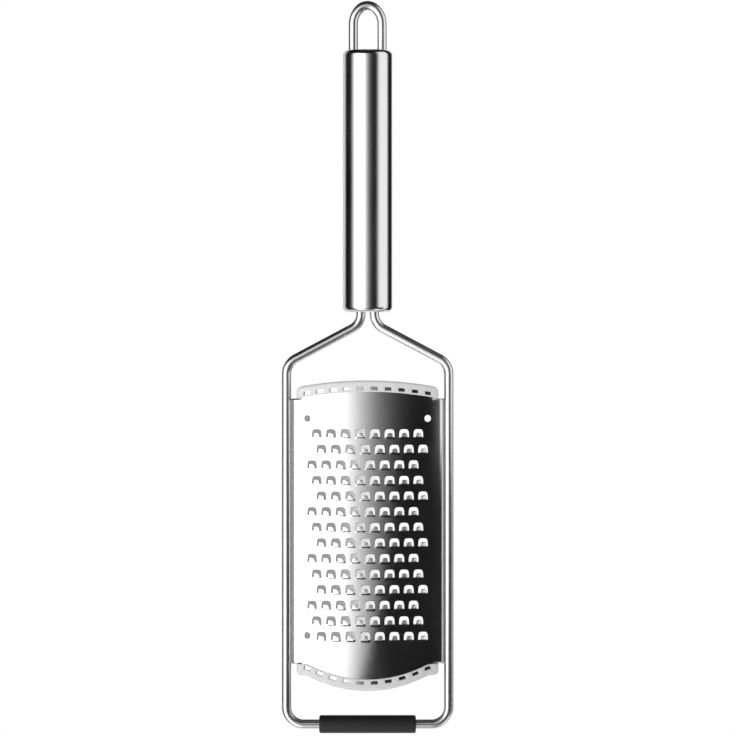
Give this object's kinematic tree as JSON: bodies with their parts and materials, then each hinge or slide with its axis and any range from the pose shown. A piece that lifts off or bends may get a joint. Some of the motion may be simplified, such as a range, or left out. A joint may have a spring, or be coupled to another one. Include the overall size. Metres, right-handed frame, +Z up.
{
  "type": "wire-framed rasp grater",
  "caption": "Coarse hand grater: arched etched blade in a bent wire frame, tubular steel handle with a hanging loop, clear end guards and a rubber foot.",
  "frame": {"origin": "the point inside the hanging loop's crown that a hook bears on, on the wire's middle plane", "axes": "+Z up the tool from its foot to its hanging loop, +X to the right as the cutting face is looked at, +Y out of the back of the blade"},
  "size_m": [0.076, 0.022, 0.3241],
  "materials": {
    "polished_wire": "polished stainless steel wire",
    "satin_handle": "stainless steel tube, fine satin along its length",
    "etched_blade": "thin stainless steel sheet, fine satin face with bright etched edges",
    "clear_guard": "translucent clear moulded plastic",
    "foot_rubber": "matt black rubber"
  },
  "bodies": {
    "root": {"hanging_loop": "polished_wire", "wire_frame": "polished_wire", "handle_tube": "satin_handle", "handle_rear_cap": "satin_handle", "handle_front_cap": "satin_handle", "grating_blade": "etched_blade", "upper_end_guard": "clear_guard", "lower_end_guard": "clear_guard", "foot_sleeve": "foot_rubber"}
  },
  "joints": []
}
